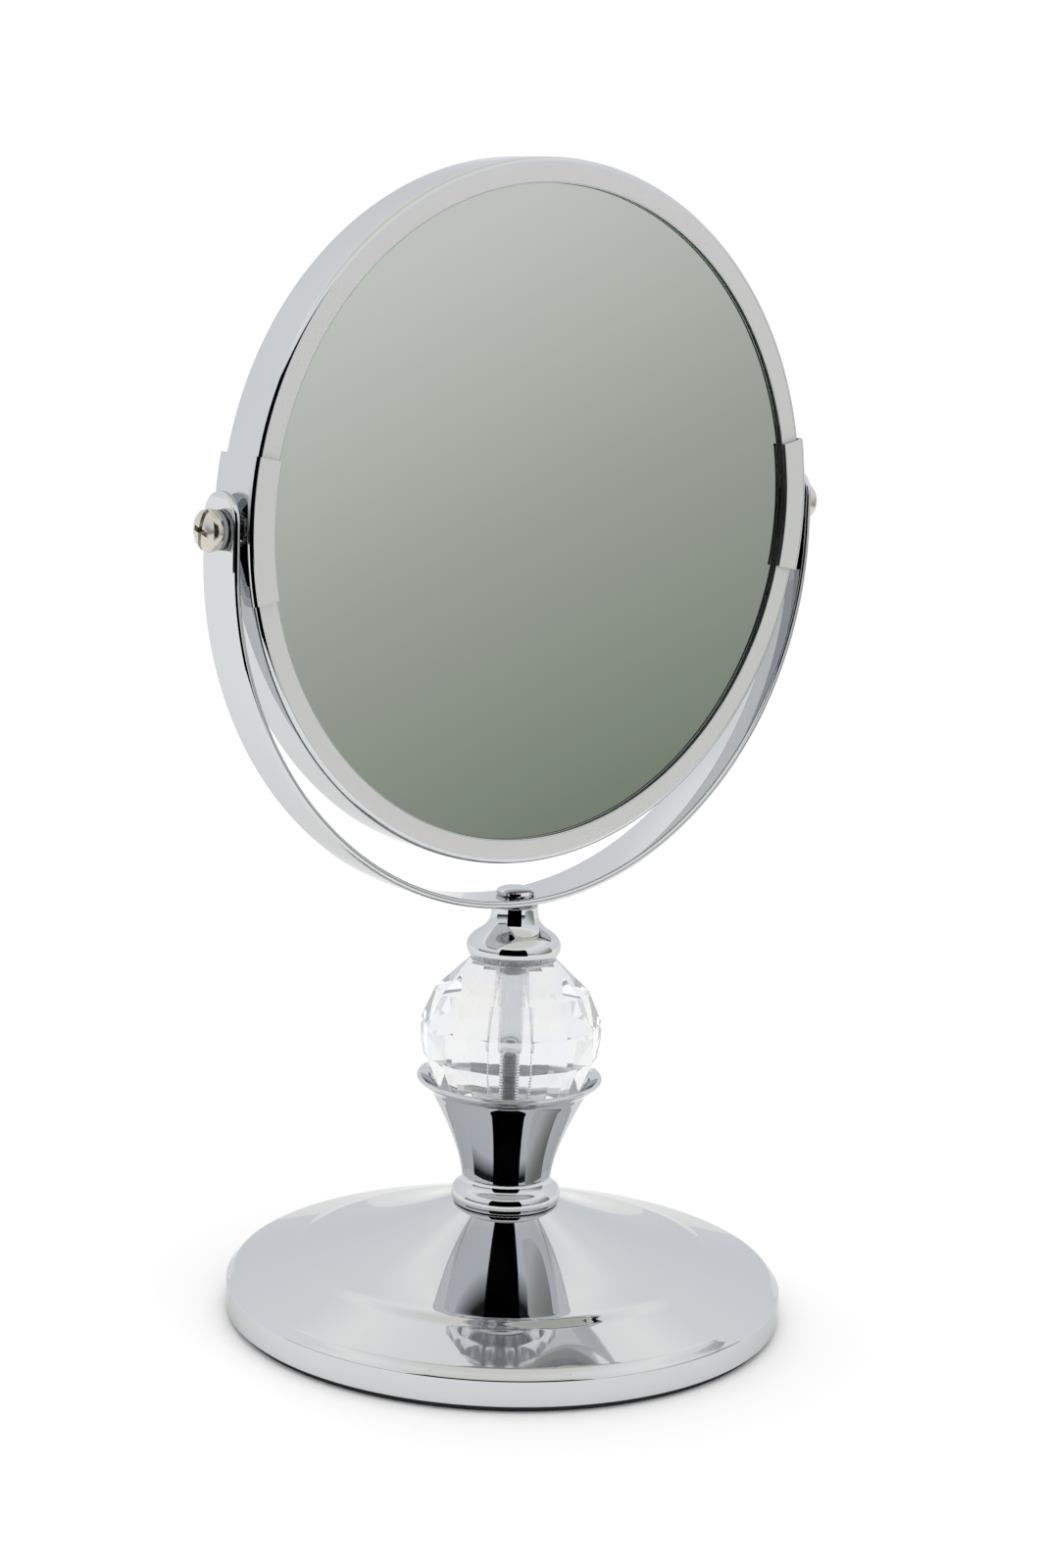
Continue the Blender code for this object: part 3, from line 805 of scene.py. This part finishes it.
def make_screws():
    """Pan-head screws with a long slot and a short cross."""
    foot = reach("pivot_washer_right", 0)[1] + GAP * 0.7
    edge = (SCREW_HEAD_RADIUS, foot + 1.2)
    outline = [(0, SCREW_TOP)]
    outline += bezier((0, SCREW_TOP), (2.4, SCREW_TOP), (edge[0], SCREW_TOP - 0.3), edge, 18)
    outline += [(SCREW_HEAD_RADIUS - 0.2, foot), (SCREW_RADIUS, foot)]
    outline += threaded(SCREW_RADIUS, SCREW_TIP + 0.5, foot - 1.0)
    outline += [(SCREW_RADIUS - 0.4, SCREW_TIP), (0, SCREW_TIP)]
    middle = Matrix.Translation((0, 0, (SCREW_TOP - SLOT_DEPTH / 2 + 0.5) * MM))
    turn = Matrix.Rotation(radians(SLOT_TURN), 4, "Z")
    for side, outward in OUTWARD.items():
        screw = turned("pan_screw_" + side, outline, COARSE, outward)
        seat = outward @ middle @ turn
        slot = box_grid((SLOT_WIDTH, SLOT_LENGTH, SLOT_DEPTH + 1), seat)
        cross = box_grid((CROSS_LENGTH, SLOT_WIDTH, SLOT_DEPTH + 1), seat)
        subtract(screw, slot, cross)
        bevel = screw.modifiers.new("Bevel", "BEVEL")
        bevel.width = 0.1 * MM
        bevel.segments = 2
        bevel.limit_method = "ANGLE"
        bevel.angle_limit = radians(50)
        piece(applied(screw), "head", "nickel", ["pivot_screw_" + side])


def make_washers_and_nuts():
    """A washer under each screw's head, and a nut between yoke and clip."""
    low, high = reach("pivot_washer_right", 0)
    washer = [(SCREW_HOLE, high), (WASHER_RADIUS, high)]
    washer += [(WASHER_RADIUS, low), (SCREW_HOLE, low)]
    nut_low, nut_high = reach("pivot_nut_right", 0)
    for side, outward in OUTWARD.items():
        ring = turned("flat_washer_" + side, fillet(washer, 0.3), COARSE, outward)
        piece(ring, "stand", "nylon", ["pivot_washer_" + side])
        make_nut(side, nut_low, nut_high, outward)


def make_nut(side, low, high, outward):
    """A thin hexagonal nut whose corners are turned down."""
    flat = NUT_ACROSS / 2
    corner = flat / cos(pi / 6)
    outer = corner + 2
    nut = turned("hex_nut_" + side, [(0, high), (corner, high), (corner, low), (0, low)], 6)
    above = [(flat, high + 1), (outer, high + 1), (outer, high - 0.8), (flat + 0.1, high)]
    under = [(flat + 0.1, low), (outer, low + 0.8), (outer, low - 1), (flat, low - 1)]
    bore = rod(SCREW_HOLE, low - 1, high + 1)
    subtract(nut, lathe(above, COARSE), lathe(under, COARSE), bore)
    nut.data.transform(outward)
    piece(nut, "head", "steel", ["pivot_nut_" + side])


def dress_inner_solids():
    """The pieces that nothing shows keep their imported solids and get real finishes."""
    inner = {
        "base_cover": "steel",
        "base_weight": "iron",
        "base_washer": "steel",
        "base_nut": "steel",
        "backing_board": "board",
        "edge_spacer": "board",
    }
    for name, finish in inner.items():
        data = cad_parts[name].data
        data.materials.clear()
        data.materials.append(FINISHES[finish])


# ---------------------------------------------------------------- studio


def glow(name, strength):
    """An even white glow that mirrors nothing itself."""
    made = bpy.data.materials.new(name)
    made.use_nodes = True
    shader = made.node_tree.nodes["Principled BSDF"]
    shader.inputs["Base Color"].default_value = (0, 0, 0, 1)
    shader.inputs["Specular IOR Level"].default_value = 0.0
    shader.inputs["Emission Color"].default_value = (1, 1, 1, 1)
    shader.inputs["Emission Strength"].default_value = strength
    return made


def grade(tree, source, target, stops):
    """Feeds a value to a colour socket through a ramp of {position: colour} stops."""
    ramp = tree.nodes.new("ShaderNodeValToRGB")
    elements = ramp.color_ramp.elements
    low, *between, high = sorted(stops)
    for element, position in zip(elements, (low, high)):
        element.position = position
        element.color = (*stops[position], 1)
    for position in between:
        elements.new(position).color = (*stops[position], 1)
    tree.links.new(source, ramp.inputs["Fac"])
    tree.links.new(ramp.outputs["Color"], target)


def height_value(tree, output):
    """The Z of one of the tree's texture coordinates."""
    place = tree.nodes.new("ShaderNodeTexCoord")
    split = tree.nodes.new("ShaderNodeSeparateXYZ")
    tree.links.new(place.outputs[output], split.inputs["Vector"])
    return split.outputs["Z"]


def reflection_only(obj, finish):
    """Gives a board its finish and leaves it to be seen only in the reflections in the chrome
    and the glass.
    """
    obj.data.materials.append(finish)
    obj.visible_camera = False
    obj.visible_shadow = False
    obj.visible_diffuse = False
    obj.visible_transmission = False


def make_floor():
    bpy.ops.mesh.primitive_plane_add(size=12.0, location=(0, 0, -0.0001))
    floor = bpy.context.object
    floor.name = "floor"
    made = Finish("floor_paper", (0.92, 0.92, 0.925), 0.0, 0.9)
    made.mottle(made.noise(3.0, 2.0), (0.915, 0.915, 0.92), (0.925, 0.925, 0.93))
    made.set("Specular IOR Level", 0.0)
    floor.data.materials.append(made.material)


def make_sky():
    """Soft light from all round, brighter in a band high up and cream overhead."""
    world = bpy.data.worlds.new("studio")
    bpy.context.scene.world = world
    world.use_nodes = True
    background = world.node_tree.nodes["Background"]
    height = height_value(world.node_tree, "Generated")
    grade(world.node_tree, height, background.inputs["Color"], {
        0.0: (0.85, 0.87, 0.90),
        0.35: (0.84, 0.86, 0.89),
        0.62: (0.87, 0.88, 0.89),
        0.72: (0.99, 0.99, 0.97),
        0.81: (0.88, 0.885, 0.885),
        0.87: (0.80, 0.79, 0.72),
        1.0: (0.78, 0.77, 0.70),
    })
    background.inputs["Strength"].default_value = 1.1


def make_lamp():
    """A wide lamp overhead that only lifts the floor."""
    lamp = bpy.data.lights.new("overhead", "SUN")
    lamp.angle = radians(60)
    lamp.energy = 0.74
    above = bpy.data.objects.new("overhead", lamp)
    above.visible_glossy = False
    bpy.context.scene.collection.objects.link(above)


def make_surround():
    """The white that the camera sees behind everything."""
    bpy.ops.mesh.primitive_uv_sphere_add(segments=48, ring_count=24, radius=7.0)
    surround = bpy.context.object
    surround.name = "white_surround"
    surround.data.materials.append(glow("white_surround", 1.06))
    surround.visible_glossy = False
    surround.visible_diffuse = False
    surround.visible_shadow = False
    bpy.context.scene.view_settings.view_transform = "Standard"


CAMERA_PLACE = Vector((-0.46576, -0.57149, 0.27814))
CAMERA_LOOKS_AT = Vector((0.00076, -0.00061, 0.1355))
CAMERA_ROLL = 1.92
LENS = 70.0


def make_camera():
    data = bpy.data.cameras.new("camera")
    data.lens = LENS
    data.sensor_width = 36.0
    data.clip_start = 0.01
    camera = bpy.data.objects.new("camera", data)
    bpy.context.scene.collection.objects.link(camera)
    camera.location = CAMERA_PLACE
    aim = (CAMERA_LOOKS_AT - CAMERA_PLACE).to_track_quat("-Z", "Y")
    camera.rotation_mode = "QUATERNION"
    camera.rotation_quaternion = aim @ Quaternion((0, 0, 1), radians(CAMERA_ROLL))
    bpy.context.scene.camera = camera


def card_glow():
    """A grey-green glow that brightens evenly along a slant."""
    made = glow("graded_card", 1.0)
    tree = made.node_tree
    place = tree.nodes.new("ShaderNodeTexCoord")
    slant = tree.nodes.new("ShaderNodeVectorMath")
    slant.operation = "DOT_PRODUCT"
    slant.inputs[1].default_value = (-0.83, 1.04, 0.0)
    shift = tree.nodes.new("ShaderNodeMath")
    shift.inputs[1].default_value = 0.462
    tree.links.new(place.outputs["Object"], slant.inputs[0])
    tree.links.new(slant.outputs["Value"], shift.inputs[0])
    shader = tree.nodes["Principled BSDF"]
    grade(tree, shift.outputs["Value"], shader.inputs["Emission Color"], {
        0.05: (0.29, 0.325, 0.27),
        0.44: (0.52, 0.525, 0.50),
        0.82: (0.83, 0.82, 0.82),
    })
    return made


def dusk_glow():
    """Black at the floor, pale a hand's width above it."""
    made = glow("dusk", 1.0)
    tree = made.node_tree
    target = tree.nodes["Principled BSDF"].inputs["Emission Color"]
    height = height_value(tree, "Object")
    grade(tree, height, target, {0.07: (0.02, 0.02, 0.02), 0.32: (0.9, 0.92, 0.96)})
    return made


def dark_wall(name, distance, start, end, height, finish):
    """A curved wall round the stem, between two bearings in degrees. Bearing 0 is -Y."""
    grid = bmesh.new()
    columns = []
    for step in range(49):
        bearing = radians(start + (end - start) * step / 48)
        x, y = distance * sin(bearing), -distance * cos(bearing)
        columns.append((grid.verts.new((x, y, 0)), grid.verts.new((x, y, height))))
    for one, two in zip(columns, columns[1:]):
        grid.faces.new((one[0], two[0], two[1], one[1]))
    reflection_only(finished(name, grid), finish)


def make_card():
    """An upright card beside the stem, and facing it, for the plain glass to mirror."""
    facing = Vector((0.63, -0.777, 0)).normalized()
    bpy.ops.mesh.primitive_plane_add(size=1.0)
    card = bpy.context.object
    card.name = "graded_card"
    card.scale = (0.5, 0.36, 1.0)
    card.rotation_mode = "QUATERNION"
    card.rotation_quaternion = facing.to_track_quat("Z", "Y")
    card.location = (facing * 0.5)[:2] + (0.16,)
    reflection_only(card, card_glow())


clear_startup()
make_camera()
make_base()
make_cup()
make_stud()
make_gasket()
make_ball()
make_bush()
make_bell()
make_yoke()
make_bolt()
make_ring()
make_mirrors()
make_clips()
make_screws()
make_washers_and_nuts()
dress_inner_solids()
make_floor()
make_sky()
make_lamp()
make_surround()
dark_wall("black_flag", 0.36, -73, -5, 0.42, glow("black_board", 0.0))
dark_wall("dusk_horizon", 1.3, -132, 34, 0.45, dusk_glow())
make_card()
